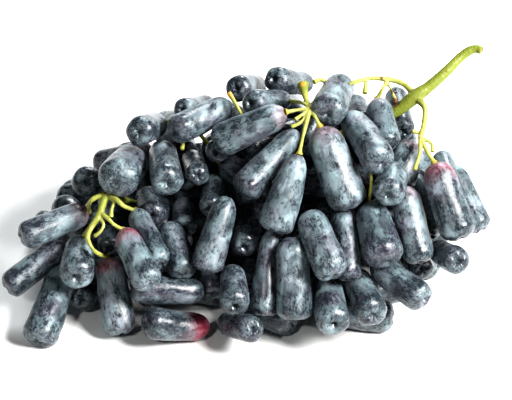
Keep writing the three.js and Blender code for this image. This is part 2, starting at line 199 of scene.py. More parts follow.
# The stems as they show in the front view: x, y, thickness, and how far they stand before the heap's face.
# A stem with a berry runs on to the stem end that shows nearest to the berry's own two numbers.
STALK_RADIUS = 1.1
STALK_SEAT = 0.98
STALK_SLACK = 0.14
STEMS = [
    # the stalk of the bunch, from its cut end, and the main stem on under the berries
    ([(483, 50, 9, 26), (477, 48, 9, 25), (469, 51, 10, 22), (460, 58, 10, 18), (447, 71, 11, 14),
      (430, 86, 12, 7), (416, 96, 15, 2), (396, 111, 13, -8), (360, 128, 11, -22), (300, 150, 10, -38),
      (230, 180, 9, -52), (175, 202, 8, -60), (140, 204, 7, -44), (116, 198, 8, -12),
      (106, 195, 10, 5)], None),
    # the side stem at the back, which ends in a knot of small stalks
    ([(416, 96, 8, 2), (405, 84, 6, 2), (390, 79, 6, 3), (370, 78, 5, 5), (352, 83, 5, 5),
      (336, 91, 5, -2), (322, 94, 5, 4), (315, 102, 6, 12), (310, 109, 7, 14)], None),
    ([(367, 79, 4, 5), (365, 93, 6, 4)], None),
    ([(388, 79, 5, 3), (384, 87, 4, 4)], (377, 97)),
    ([(386, 80, 4, 3), (392, 90, 3, 5), (396, 102, 5, 5)], None),
    ([(328, 93, 5, 0), (327, 84, 5, 3), (321, 79, 5, 5), (314, 82, 6, 6)], None),
    ([(310, 109, 5, 14), (306, 99, 6, 13), (304, 90, 9, 12), (303, 84, 13, 12)], None),
    ([(310, 109, 5, 14), (299, 110, 4, 14)], (286, 112)),
    ([(310, 108, 5, 14), (302, 103, 4, 11)], (293, 99)),
    ([(310, 109, 5, 14), (306, 124, 5, 16), (302, 140, 4, 14)], (299, 154)),
    ([(310, 109, 5, 14), (315, 117, 4, 15)], (320, 127)),
    ([(309, 110, 4, 14), (302, 115, 4, 15), (295, 120, 5, 15)], None),
    ([(308, 114, 4, 15), (300, 123, 4, 15), (291, 127, 5, 14)], None),
    # the side stem by the stalk
    ([(418, 98, 9, 2), (425, 108, 6, 5), (424, 124, 6, 8), (420, 138, 6, 9)], None),
    ([(420, 138, 5, 9), (426, 150, 5, 10)], (434, 163)),
    ([(420, 138, 5, 9), (431, 143, 4, 9), (432, 152, 5, 9)], None),
    ([(420, 138, 5, 9), (419, 154, 4, 10), (414, 170, 5, 10)], None),
    ([(421, 134, 4, 8), (412, 131, 5, 8)], None),
    # stalks further down the main stem
    ([(360, 128, 8, -22), (367, 158, 5, -5), (371, 178, 4, 4)], (368, 200)),
    ([(300, 150, 7, -38), (270, 136, 5, -24), (250, 123, 4, -8), (241, 113, 4, 4), (236, 104, 4, 9),
      (229, 93, 6, 9)], None),
    ([(230, 180, 6, -52), (206, 142, 5, -28), (190, 124, 4, -12), (179, 119, 4, 1)], (168, 118)),
    ([(190, 124, 4, -12), (184, 138, 4, -9), (182, 149, 5, -5)], None),
    # the knot of small stalks near the tip of the bunch
    ([(106, 195, 8, 5), (97, 197, 6, 8), (90, 202, 5, 7)], (88, 211)),
    ([(106, 195, 8, 5), (117, 200, 6, 9), (124, 206, 5, 8)], (134, 209)),
    ([(107, 196, 6, 6), (114, 201, 4, 8), (112, 209, 4, 8), (111, 217, 6, 7)], None),
    ([(106, 195, 11, 5), (103, 204, 8, 8), (100, 214, 8, 10), (95, 222, 7, 11),
      (89, 230, 6, 9)], (80, 233)),
    ([(94, 223, 6, 11), (88, 236, 6, 13), (92, 247, 4, 12), (98, 253, 5, 11)], (107, 257)),
    ([(101, 213, 6, 10), (108, 218, 5, 12), (114, 224, 4, 12)], (122, 228)),
    ([(99, 217, 5, 10), (104, 224, 4, 12), (101, 231, 4, 12), (95, 236, 5, 11)], None),
]

# Brown places and bare seats on the stems, in the front view's pixels, and their reach in millimetres.
SCARS = [
    (485, 50, 2.6),
    (447, 71, 1.2),
    (382, 77, 1.8),
    (310, 109, 0.9),
    (105, 193, 1.1),
    (396, 102, 4.5),
    (392, 92, 2.5),
]
EMPTY_SEATS = [(229, 93, 3.2), (303, 84, 1.5)]

# How near to the viewer the middle of the heap's face is, for the camera.
FACE_MIDDLE = 60

# A berry's shape, in radii: the lengths of its round ends, its widest place and the dent in its stem end.
STEM_DOME = 1.0
TIP_DOME = 0.72
FULLNESS = 0.985
FLAT_TOP = 0.06
# Rings crowd towards the middle of an end by this power.
END_CROWDING = 1.4
# The sharpness of the round ends: below 1 they are blunter than half a ball.
STEM_BLUNTNESS = 0.92
TIP_BLUNTNESS = 0.9
# How much thinner a berry is at its stem end, at least and at most, and how much more a slim one is.
LEAST_TAPER = 0.1
MOST_TAPER = 0.26
SLIM_TAPER = 0.22
# How wide, in radii, a tip's dimple, its pit and the folds round them are, and how high the lobes are.
DIMPLE_WIDTH = 0.45
PIT_WIDTH = 0.19
FOLD_PLACE = 0.34
FOLD_WIDTH = 0.2
LOBES = 0.034
OVAL = 0.018
# How many lumps there are to a millimetre.
LUMP_SCALE = 0.13
# How softly the berries inside the heap flatten on the table, in millimetres.
INNER_SOFTNESS = 0.6
# Berries that touch by less than this gap are flattened against each other.
TOUCHING = 0.5

# The sides of a stem, the passes that smooth them all, and how many warts there are to a millimetre.
STEM_SIDES = 16
STEM_SMOOTHING = 4
WART_SCALE = 1.1
# How far before its berry, in millimetres, a small stalk is thinnest and where it flares.
STALK_NECK = 2.6
STALK_FLARE = 0.9

# The patterns in the bloom, for a berry in millimetres: scale, detail, roughness and distortion.
PATCHES = (0.085, 3.0, 0.5, 0.8)
STREAKS = (0.5, 4.0, 0.6, 0.6)
MARKS = (0.3, 4.0, 0.55, 1.0)
SPECKS = (1.0, 5.0, 0.62, 0.7)
GRAIN = (3.5, 3.0, 0.6)
WORN = (0.12, 2.0, 0.5, 0.4)
RUBBED = (0.11, 3.0, 0.5, 1.0)

# The side of the floor, in metres.
FLOOR_SIZE = 12

COS_TILT = math.cos(VIEW_TILT)
SIN_TILT = math.sin(VIEW_TILT)


def plus(a, b, share=1.0):
    return (a[0] + b[0] * share, a[1] + b[1] * share, a[2] + b[2] * share)


def minus(a, b):
    return (a[0] - b[0], a[1] - b[1], a[2] - b[2])


def dot(a, b):
    return a[0] * b[0] + a[1] * b[1] + a[2] * b[2]


def mix(a, b, share):
    return plus(a, minus(b, a), share)


def size_of(a):
    return math.sqrt(dot(a, a))


def clamp(value, low=0.0, high=1.0):
    return min(high, max(low, value))


def from_view(place):
    """Turns right, up and nearer in the front view to the part's own axes."""
    right, up, nearer = place
    return (right, up * SIN_TILT - nearer * COS_TILT, up * COS_TILT + nearer * SIN_TILT)


def place_in_view(x, y):
    return ((x - ORIGIN_PX[0]) * MM_PER_PX, (ORIGIN_PX[1] - y) * MM_PER_PX)


def face_at(right, up):
    """How near to the viewer the face of the heap is, at a place in the front view."""
    across = FACE_FALL_ACROSS * (right - FACE_RIGHT) ** 2
    return FACE_NEAREST - across - FACE_FALL_UP * (up - FACE_UP) ** 2


class Berry:
    """The line between the centres of a berry's two round ends, a radius, and how its skin looks."""

    def __init__(self, stem, tip, radius, blush, bloom):
        self.stem = stem
        self.tip = tip
        self.radius = radius
        self.blush = blush
        self.bloom = bloom
        self.slim = False

    def stem_end(self):
        along = minus(self.tip, self.stem)
        return plus(self.stem, along, -self.radius * STALK_SEAT / size_of(along))


def berry_in_view(row, layer):
    stem_x, stem_y, tip_x, tip_y, thickness, blush, bloom = row
    radius = thickness * MM_PER_PX / 2
    shown = math.hypot(tip_x - stem_x, tip_y - stem_y)
    inset = min(thickness / 2, shown / 2 - 1) / shown
    stem = place_in_view(stem_x + (tip_x - stem_x) * inset, stem_y + (tip_y - stem_y) * inset)
    tip = place_in_view(tip_x - (tip_x - stem_x) * inset, tip_y - (tip_y - stem_y) * inset)
    core = math.hypot(tip[0] - stem[0], tip[1] - stem[1])

    def lean_for(length):
        return math.sqrt(max(0.0, (length - 2 * radius) ** 2 - core**2))

    lean = lean_for(TYPICAL_LENGTH)
    near = face_at((stem[0] + tip[0]) / 2, (stem[1] + tip[1]) / 2) - layer
    berry = Berry((*stem, near - lean / 2), (*tip, near + lean / 2), radius, blush, bloom)
    berry.slim = (stem_x, stem_y) in SLIM_BERRIES
    berry.near = near
    berry.lean = lean
    berry.most_lean = lean_for(LONGEST)
    return berry


def shortest_way(a, b, c, d):
    """The shortest way between two line segments: its length, and how far along each it starts."""
    u = minus(b, a)
    v = minus(d, c)
    w = minus(a, c)
    uu, uv, vv, uw, vw = dot(u, u), dot(u, v), dot(v, v), dot(u, w), dot(v, w)
    parallel = uu * vv - uv * uv
    s = clamp((uv * vw - vv * uw) / parallel) if parallel > 1e-9 else 0.0
    t = clamp((uv * s + vw) / vv)
    s = clamp((uv * t - uw) / uu)
    return size_of(plus(plus(w, u, s), v, -t)), s, t


def overlap(berry, other):
    return berry.radius + other.radius - shortest_way(berry.stem, berry.tip, other.stem, other.tip)[0]


def push_apart(front, back):
    length, s, t = shortest_way(front.stem, front.tip, back.stem, back.tip)
    push = PUSH * (front.radius + back.radius - PRESSED - length)
    if push <= 0:
        return
    front.stem = plus(front.stem, (0, 0, push * (1 - s)))
    front.tip = plus(front.tip, (0, 0, push * s))
    back.stem = plus(back.stem, (0, 0, -push * (1 - t)))
    back.tip = plus(back.tip, (0, 0, -push * t))


def pull_back(berry):
    middle = (berry.stem[2] + berry.tip[2]) / 2
    new_middle = middle + PULL * (berry.near - middle)
    lean = berry.tip[2] - berry.stem[2]
    half = clamp(lean + PULL * (berry.lean - lean), -berry.most_lean, berry.most_lean) / 2
    table = [(berry.radius - FLATTENED - end[1] * COS_TILT) / SIN_TILT for end in (berry.stem, berry.tip)]
    berry.stem = (*berry.stem[:2], max(new_middle - half, table[0]))
    berry.tip = (*berry.tip[:2], max(new_middle + half, table[1]))


class Dice:
    """Random numbers, the same as in the part's solids."""

    def __init__(self, seed):
        self.seed = seed

    def jitter(self, most):
        self.seed = (self.seed * 1664525 + 1013904223) % 4294967296
        return most * (2 * self.seed / 4294967296 - 1)


def direction_of(heading, rise):
    flat = math.cos(rise)
    return (flat * math.cos(heading), flat * math.sin(heading), math.sin(rise))


def berry_at(centre, direction, radius, blush, bloom):
    half = TYPICAL_LENGTH / 2 - radius
    return Berry(plus(centre, direction, -half), plus(centre, direction, half), radius, blush, bloom)


def crowded(berry, berries, pressed):
    return any(overlap(berry, other) > pressed for other in berries)


def add_back_rings(berries, dice, looks):
    for height, droop in BACK_RINGS:
        level = math.sqrt(1 - (height / HEAP_HEIGHT) ** 2)
        along = HEAP_HALF_LENGTH * level
        across = HEAP_HALF_DEPTH * level
        angle = RING_START
        while angle < RING_END:
            heading = math.atan2(math.sin(angle) / across, math.cos(angle) / along)
            centre = (
                HEAP_MIDDLE[0] + HEAP_LEAN * (height / HEAP_HEIGHT) + along * math.cos(angle),
                HEAP_MIDDLE[1] + across * math.sin(angle),
                height + dice.jitter(2),
            )
            turn = dice.jitter(0.3)
            direction = direction_of(heading + turn, -droop + dice.jitter(0.15))
            berry = berry_at(centre, direction, BACK_RADIUS + dice.jitter(0.9), *looks())
            if not crowded(berry, berries, BACK_PRESSED):
                berries.append(berry)
            angle += BACK_STEP / math.hypot(along * math.sin(angle), across * math.cos(angle))


def add_floor_rows(berries, dice, looks):
    for y in FLOOR_ROWS:
        for x in range(-FLOOR_HALF_LENGTH, FLOOR_HALF_LENGTH + 1, FLOOR_STEP):
            centre = (x, y + dice.jitter(2), BACK_RADIUS - FLATTENED)
            direction = direction_of(dice.jitter(FLOOR_TURN), 0)
            berry = berry_at(centre, direction, BACK_RADIUS, *looks())
            beneath = (x / FLOOR_HALF_LENGTH) ** 2 + ((y - FLOOR_MIDDLE) / FLOOR_HALF_DEPTH) ** 2 < 1
            if beneath and not crowded(berry, berries, FLOOR_PRESSED):
                berries.append(berry)


def inner_berries(berries):
    """Berries inside the heap, which fill the gaps between the ones that show."""
    chance = random.Random(INNER_SEED)
    inner = []
    for centre, half in HEARTS:
        steps = [range(-int(size // INNER_STEP), int(size // INNER_STEP) + 1) for size in half]
        spots = [(i, j, k) for k in steps[2] for j in steps[1] for i in steps[0]]
        chance.shuffle(spots)
        for spot in spots:
            away = [INNER_STEP * step for step in spot]
            if sum((gap / size) ** 2 for gap, size in zip(away, half)) > INNER_FILL:
                continue
            direction = direction_of(chance.uniform(-3, 3), chance.uniform(-0.6, 0.2))
            berry = berry_at(plus(centre, away), direction, INNER_RADIUS, *INNER_LOOKS)
            low = min(berry.stem[2], berry.tip[2]) - INNER_RADIUS
            if low > 0 and not crowded(berry, berries + inner, INNER_PRESSED):
                inner.append(berry)
    return inner


@functools.cache
def lay_out_bunch():
    """The berries that show in the front view, the rest of the outer ones, and the ones inside."""
    shown = [berry_in_view(row, layer) for rows, layer in LAYERS for row in rows]
    for _ in range(PASSES):
        for i, front in enumerate(shown):
            for back in shown[:i]:
                push_apart(front, back)
        for berry in shown:
            pull_back(berry)
    for berry in shown:
        berry.stem = from_view(berry.stem)
        berry.tip = from_view(berry.tip)
    chance = random.Random(LOOKS_SEED)

    def looks():
        return max(0.0, chance.uniform(*BACK_BLUSH)), chance.uniform(*BACK_BLOOM)

    berries = list(shown)
    dice = Dice(BACK_SEED)
    add_back_rings(berries, dice, looks)
    add_floor_rows(berries, dice, looks)
    return shown, berries, inner_berries(berries)


def colour(name, description, value):
    return FloatVectorProperty(
        name=name, description=description, default=value, subtype="COLOR", size=3, min=0, max=1
    )


def length(name, description, value, most=0.02):
    return FloatProperty(
        name=name, description=description, default=value, unit="LENGTH", min=0, max=most, precision=5
    )


class GrapeBerrySettings(PropertyGroup):
    around: IntProperty(name="Around", description="Points round a berry", default=44, min=12, max=96)
    along: IntProperty(name="Along", description="Rings on the straight part of a berry", default=20, min=4)
    ends: IntProperty(name="Ends", description="Rings on each round end of a berry", default=14, min=4)
    dimple: length("Dimple", "Depth of the wide dimple in a berry's tip", 0.0009)
    pit: length("Pit", "Depth of the narrow pit in the dimple's middle", 0.0032)
    fold: length("Fold", "Height of the folds round the dimple", 0.0004)
    bend: length("Bend", "How far the longest berries are bent", 0.0011)
    lump: length("Lump", "Height of the skin's slow lumps", 0.00035)
    press: length("Press", "How softly berries flatten where they touch", 0.0008)
    most_pressed: length("Most pressed", "How far a berry is flattened at most", 0.0011)
    skin: colour("Skin", "Bare skin", (0.005, 0.006, 0.012))
    skin_light: colour("Skin light", "Thinner, more violet skin", (0.014, 0.009, 0.02))
    plum: colour("Plum", "Skin where the blush begins", (0.04, 0.005, 0.013))
    blush: colour("Blush", "Red skin at the stem end", (0.17, 0.01, 0.03))
    bloom: colour("Bloom", "The pale dust on the skin", (0.25, 0.326, 0.35))
    bloom_warm: colour("Bloom, mauve", "The dust where it is mauve", (0.3, 0.295, 0.35))
    bloom_pink: colour("Bloom, pink", "The dust on red skin", (0.44, 0.29, 0.34))


class GrapeStemSettings(PropertyGroup):
    voxel: length("Voxel", "Grain of the mesh that joins the stems", 0.00034)
    step: length("Step", "Distance between rings along a stem", 0.0011)
    flare: length("Flare", "Radius of a stem's seat on its berry", 0.0023)
    wart: length("Wart", "Height of the small bumps on the stems", 0.00016)
    green: colour("Green", "Fresh stem", (0.185, 0.21, 0.036))
    pale: colour("Pale", "Young, pale stem", (0.37, 0.365, 0.12))
    deep: colour("Deep green", "Grooves and darker places of the stems", (0.14, 0.175, 0.016))
    brown: colour("Brown", "Dried stem and scars", (0.13, 0.055, 0.018))
    seat: colour("Seat", "Orange-brown rim of a seat", (0.55, 0.25, 0.05))


class GrapeStageSettings(PropertyGroup):
    floor: colour("Floor", "The pale floor", (0.86, 0.86, 0.85))
    key: FloatProperty(name="Key", description="Power of the soft main light", default=250, unit="POWER")
    glint: FloatProperty(name="Glint", description="Power of the small light", default=16, unit="POWER")
    back: FloatProperty(name="Back", description="Power of the light behind", default=50, unit="POWER")
    fill: FloatProperty(name="Fill", description="Strength of the surroundings", default=0.07)
    camera_distance: FloatProperty(
        name="Camera distance", description="From the heap's face", default=4, unit="LENGTH"
    )


def berry_outline(settings, radius, full_length):
    """Distance from the axis and place along it, for each ring from the stem end to the tip."""
    turn = math.pi / 2 * np.linspace(0, 1, settings.ends + 1)[1:] ** END_CROWDING
    stem_across = np.sin(turn) ** STEM_BLUNTNESS
    stem_along = radius * STEM_DOME * (1 - np.cos(turn))
    stem_along += radius * FLAT_TOP * np.exp(-((stem_across / 0.25) ** 2))
    tip_across = stem_across[::-1] ** TIP_BLUNTNESS
    tip_along = full_length - radius * TIP_DOME * (1 - np.cos(turn[::-1]))
    body_along = np.linspace(stem_along[-1], tip_along[0], settings.along + 1)[1:-1]
    across = np.concatenate([stem_across, np.ones(len(body_along)), tip_across])
    return across, np.concatenate([stem_along, body_along, tip_along])


def grid_faces(rings, around):
    """Faces of a closed shape of rings, with one point at each end: first and last."""
    first = 0
    last = rings * around + 1
    side = np.arange(around)
    after = (side + 1) % around
    faces = [(first, 1 + b, 1 + a) for a, b in zip(side, after)]
    for ring in range(rings - 1):
        low = 1 + ring * around
        high = low + around
        faces += [(low + a, low + b, high + b, high + a) for a, b in zip(side, after)]
    end = 1 + (rings - 1) * around
    return faces + [(last, end + a, end + b) for a, b in zip(side, after)]


def berry_shape(settings, berry, chance):
    """Points of a berry in millimetres, their places on the skin, and how far along it they are."""
    stem = np.array(berry.stem)
    tip = np.array(berry.tip)
    axis = tip - stem
    core = np.linalg.norm(axis)
    axis /= core
    aside = np.cross(axis, (0.3, 0.5, 0.8))
    aside /= np.linalg.norm(aside)
    third = np.cross(axis, aside)
    radius = berry.radius
    full = core + 2 * radius
    across, along = berry_outline(settings, radius, full)
    share = along / full

    angle = np.linspace(0, 2 * math.pi, settings.around, endpoint=False)[None, :]
    across = across[:, None]
    share = share[:, None]
    taper = chance.uniform(LEAST_TAPER, MOST_TAPER) + (SLIM_TAPER if berry.slim else 0)
    waist = chance.uniform(-0.01, 0.03)
    width = FULLNESS - taper * (1 - share) ** 1.6 - waist * np.exp(-(((share - 0.4) / 0.2) ** 2))
    lobes = chance.choice((3, 4, 4, 5))
    phase = chance.uniform(0, 6.3)
    near_tip = np.clip((share - 0.55) / 0.45, 0, 1) ** 2
    oval = OVAL * np.cos(2 * (angle - chance.uniform(0, 3.1)))
    width = width + oval + LOBES * near_tip * np.cos(lobes * angle + phase)

    reach = across * radius * width
    tip_half = share > 0.5
    wide = settings.dimple / MM * chance.uniform(0.6, 1.2)
    narrow = settings.pit / MM * chance.uniform(0.5, 1.1)
    hollow = wide * np.exp(-((across / DIMPLE_WIDTH) ** 2))
    hollow = hollow + narrow * np.exp(-((across / PIT_WIDTH) ** 2))
    fold = settings.fold / MM * chance.uniform(0.5, 1.5)
    ridge = fold * np.exp(-(((across - FOLD_PLACE) / FOLD_WIDTH) ** 2))
    ridge = ridge * np.cos(lobes * angle + phase + 0.6)
    height = along[:, None] + tip_half * (ridge - hollow)
    depth = wide + narrow

    flat = np.stack([reach * np.cos(angle), reach * np.sin(angle), height + 0 * angle], axis=-1)
    ends = np.array([[[0, 0, radius * FLAT_TOP]], [[0, 0, full - depth]]])
    flat = np.concatenate([ends[0], flat.reshape(-1, 3), ends[1]])
    share = np.clip(flat[:, 2] / full, 0, 1)

    bend = settings.bend / MM * chance.uniform(0.1, 1.0) * (core / 25)
    turn = chance.uniform(0, 6.3)
    sag = bend * (4 * share * (1 - share) - 0.6)
    bent = flat + sag[:, None] * np.array([math.cos(turn), math.sin(turn), 0])
    start = stem - axis * radius
    points = start + bent[:, :1] * aside + bent[:, 1:2] * third + bent[:, 2:] * axis

    spot = np.array([chance.uniform(0, 900) for _ in range(3)])
    lumps = np.array([noise.noise(Vector((place + spot) * LUMP_SCALE)) for place in flat])
    outward = bent.copy()
    outward[:, 2] = 0
    outward /= np.maximum(np.linalg.norm(outward, axis=1, keepdims=True), 1e-6)
    lumps = (lumps * settings.lump / MM)[:, None]
    points += lumps * (outward[:, :1] * aside + outward[:, 1:2] * third)
    return points, flat + spot, share


def press_flat(points, start, toward, room, soft):
    """Points beyond a plane come back to it, softly: the plane is room away from start."""
    beyond = (points - start) @ toward - (room - soft)
    moved = np.where(beyond > 0, soft * (1 - np.exp(-np.maximum(beyond, 0) / soft)) - beyond, 0)
    return points + moved[:, None] * toward


def press_against_others(settings, points, berry, others):
    soft = settings.press / MM
    for other in others:
        if other is berry:
            continue
        gap, s, t = shortest_way(berry.stem, berry.tip, other.stem, other.tip)
        if gap > berry.radius + other.radius + TOUCHING or gap < 2:
            continue
        start = np.array(mix(berry.stem, berry.tip, s))
        toward = (np.array(mix(other.stem, other.tip, t)) - start) / gap
        room = max((gap + berry.radius - other.radius) / 2, berry.radius - settings.most_pressed / MM)
        points = press_flat(points, start, toward, room, soft)
    return press_flat(points, np.zeros(3), np.array([0, 0, -1.0]), 0, soft)


def mesh_object(name, points, faces, attributes, material):
    """A smooth mesh object in metres, moved to the part's own origin, with its named attributes."""
    mesh = bpy.data.meshes.new(name)
    world = (points - np.array([*MIDDLE, 0])) * MM
    mesh.from_pydata(world.tolist(), [], faces)
    for key, values in attributes.items():
        kind = "FLOAT_VECTOR" if values.ndim == 2 else "FLOAT"
        layer = mesh.attributes.new(key, kind, "POINT")
        layer.data.foreach_set("vector" if values.ndim == 2 else "value", values.ravel())
    mesh.polygons.foreach_set("use_smooth", [True] * len(mesh.polygons))
    mesh.materials.append(material)
    mesh.update()
    piece = bpy.data.objects.new(name, mesh)
    bpy.context.scene.collection.objects.link(piece)
    return piece


class Tree:
    """Short ways to place and join the nodes of a material or a node group."""

    def __init__(self, tree):
        self.tree = tree

    def node(self, kind, **values):
        made = self.tree.nodes.new("ShaderNode" + kind)
        for key, value in values.items():
            setattr(made, key, value)
        return made

    def join(self, value, socket):
        if isinstance(value, bpy.types.NodeSocket):
            self.tree.links.new(value, socket)
        elif value is not None:
            socket.default_value = value

    def math(self, operation, a, b=None, c=None, clamp_it=False):
        made = self.node("Math", operation=operation, use_clamp=clamp_it)
        for value, socket in zip((a, b, c), made.inputs):
            self.join(value, socket)
        return made.outputs[0]

    def noise(self, place, scale, detail=3.0, roughness=0.55, distortion=0.0):
        made = self.node("TexNoise")
        self.join(place, made.inputs["Vector"])
        made.inputs["Scale"].default_value = scale
        made.inputs["Detail"].default_value = detail
        made.inputs["Roughness"].default_value = roughness
        made.inputs["Distortion"].default_value = distortion
        return made.outputs["Fac"]

    def stretched(self, place, by):
        made = self.node("VectorMath", operation="MULTIPLY")
        self.join(place, made.inputs[0])
        made.inputs[1].default_value = by
        return made.outputs[0]

    def ramp(self, value, low, high, bottom=0.0, top=1.0, smooth=True):
        made = self.node("MapRange", interpolation_type="SMOOTHSTEP" if smooth else "LINEAR")
        self.join(value, made.inputs["Value"])
        for key, number in (("From Min", low), ("From Max", high), ("To Min", bottom), ("To Max", top)):
            self.join(number, made.inputs[key])
        return made.outputs["Result"]

    def blend(self, share, first, second):
        made = self.node("Mix", data_type="RGBA")
        self.join(share, made.inputs["Factor"])
        self.join(first, made.inputs[6])
        self.join(second, made.inputs[7])
        return made.outputs[2]

    def attribute(self, name, output="Fac"):
        made = self.node("Attribute", attribute_name=name)
        return made.outputs[output]

    def bump(self, height, strength, distance):
        made = self.node("Bump")
        self.join(height, made.inputs["Height"])
        made.inputs["Strength"].default_value = strength
        made.inputs["Distance"].default_value = distance
        return made.outputs["Normal"]


def new_material(name):
    material = bpy.data.materials.new(name)
    material.use_nodes = True
    shader = material.node_tree.nodes["Principled BSDF"]
    return material, Tree(material.node_tree), shader


def rgba(value):
    return (*value, 1.0)


def bloom_group():
    """The pale dust on a berry's skin: how thick it lies where it isn't rubbed off, and its fine grain."""
    group = bpy.data.node_groups.new("grape bloom", "ShaderNodeTree")
    for name, kind, way in (
        ("Place", "NodeSocketVector", "INPUT"),
        ("Along", "NodeSocketFloat", "INPUT"),
        ("Amount", "NodeSocketFloat", "INPUT"),
        ("Dust", "NodeSocketFloat", "OUTPUT"),
        ("Grain", "NodeSocketFloat", "OUTPUT"),
    ):
        group.interface.new_socket(name, in_out=way, socket_type=kind)
    tree = Tree(group)
    inputs = tree.tree.nodes.new("NodeGroupInput").outputs
    outputs = tree.tree.nodes.new("NodeGroupOutput").inputs
    place = inputs["Place"]
    amount = inputs["Amount"]
    long_way = tree.stretched(place, (1.0, 1.0, 0.3))
    half_long = tree.stretched(place, (1.0, 1.0, 0.6))
    patches = tree.noise(place, *PATCHES)
    streaks = tree.noise(long_way, *STREAKS)
    marks = tree.noise(half_long, *MARKS)
    specks = tree.noise(half_long, *SPECKS)
    grain = tree.noise(place, *GRAIN)
    # it is worn where berries rub, more so towards the tip, and worn places are full of dark specks
    worn = tree.noise(place, *WORN)
    wear = tree.math("MULTIPLY_ADD", inputs["Along"], 0.2, worn)
    wear = tree.math("MULTIPLY_ADD", amount, -0.3, wear)
    wear = tree.ramp(wear, 0.28, 0.52)
    # the dust is a soft film, thicker and thinner in slow patches and in streaks along the berry
    film = tree.math("MULTIPLY_ADD", amount, 0.9, 0.16)
    film = tree.math("MULTIPLY", film, tree.ramp(patches, 0.4, 0.6, 0.58, 1.06))
    film = tree.math("MULTIPLY", film, tree.ramp(streaks, 0.35, 0.62, 0.75, 1.04))
    film = tree.math("MULTIPLY", film, tree.ramp(wear, 0.0, 1.0, 1.04, 0.72))
    # here and there a whole flank is rubbed thinner, with an uneven edge
    rubbed = tree.math("MULTIPLY_ADD", specks, 0.3, tree.noise(half_long, *RUBBED))
    rubbed = tree.math("MULTIPLY_ADD", amount, -0.12, rubbed)
    film = tree.math("MULTIPLY", film, tree.ramp(rubbed, 0.56, 0.67, 1.0, 0.5))
    bare = tree.math("MULTIPLY_ADD", wear, 0.13, specks)
    bare = tree.ramp(bare, 0.56, 0.76, 0.0, 0.8)
    marked = tree.ramp(tree.math("MULTIPLY_ADD", wear, 0.08, marks), 0.58, 0.71, 0.0, 0.75)
    left = tree.math("SUBTRACT", 1.0, tree.math("MAXIMUM", bare, marked))
    dust = tree.math("MULTIPLY", film, left)
    dust = tree.math("MULTIPLY", dust, tree.ramp(grain, 0.3, 0.7, 0.8, 1.1), clamp_it=True)
    tree.join(dust, outputs["Dust"])
    tree.join(grain, outputs["Grain"])
    return group


def skin_material(settings):
    material, tree, shader = new_material("grape skin")
    place = tree.attribute("skin_place", "Vector")
    along = tree.attribute("along")
    blush = tree.attribute("blush")
    group = tree.node("Group")
    group.node_tree = bloom_group()
    tree.join(place, group.inputs["Place"])
    tree.join(along, group.inputs["Along"])
    tree.join(tree.attribute("bloom"), group.inputs["Amount"])
    dust = group.outputs["Dust"]
    grain = group.outputs["Grain"]

    # the skin is blue-black, more violet in slow patches, and red at some stem ends
    slow = tree.noise(place, 0.07, 2.0)
    violet = tree.ramp(slow, 0.42, 0.7)
    skin = tree.blend(violet, rgba(settings.skin), rgba(settings.skin_light))
    edge = tree.math("MULTIPLY_ADD", tree.math("SUBTRACT", tree.noise(place, 0.09, 3.0), 0.5), 0.45, along)
    end = tree.math("MULTIPLY_ADD", blush, 0.3, 0.12)
    red = tree.math("MULTIPLY", tree.ramp(edge, 0.02, end, 1.0, 0.0), blush)
    mottled = tree.math("MULTIPLY_ADD", tree.math("SUBTRACT", tree.noise(place, 0.22, 3.0), 0.5), 1.1, red)
    red_skin = tree.blend(tree.ramp(mottled, 0.35, 1.15), rgba(settings.plum), rgba(settings.blush))
    skin = tree.blend(tree.ramp(red, 0.0, 0.45), skin, red_skin)

    # the dust over it is blue-grey, mauve in places, and thinner and pinker on red skin
    warm = tree.math("MULTIPLY", violet, 0.5)
    powder = tree.blend(warm, rgba(settings.bloom), rgba(settings.bloom_warm))
    powder = tree.blend(tree.ramp(red, 0.0, 0.8, 0.0, 0.8), powder, rgba(settings.bloom_pink))
    dust = tree.math("MULTIPLY", dust, tree.ramp(red, 0.5, 1.2, 1.0, 0.4))
    tree.join(tree.blend(dust, skin, powder), shader.inputs["Base Color"])
    tree.join(tree.ramp(dust, 0.0, 0.6, 0.2, 0.42, smooth=False), shader.inputs["Roughness"])
    shader.inputs["IOR"].default_value = 1.5
    shader.inputs["Sheen Weight"].default_value = 0.08
    shader.inputs["Sheen Roughness"].default_value = 0.4
    shader.inputs["Sheen Tint"].default_value = (0.75, 0.85, 1.0, 1.0)
    height = tree.math("MULTIPLY_ADD", grain, 0.3, dust)
    tree.join(tree.bump(height, 0.4, 0.0003), shader.inputs["Normal"])
    return material


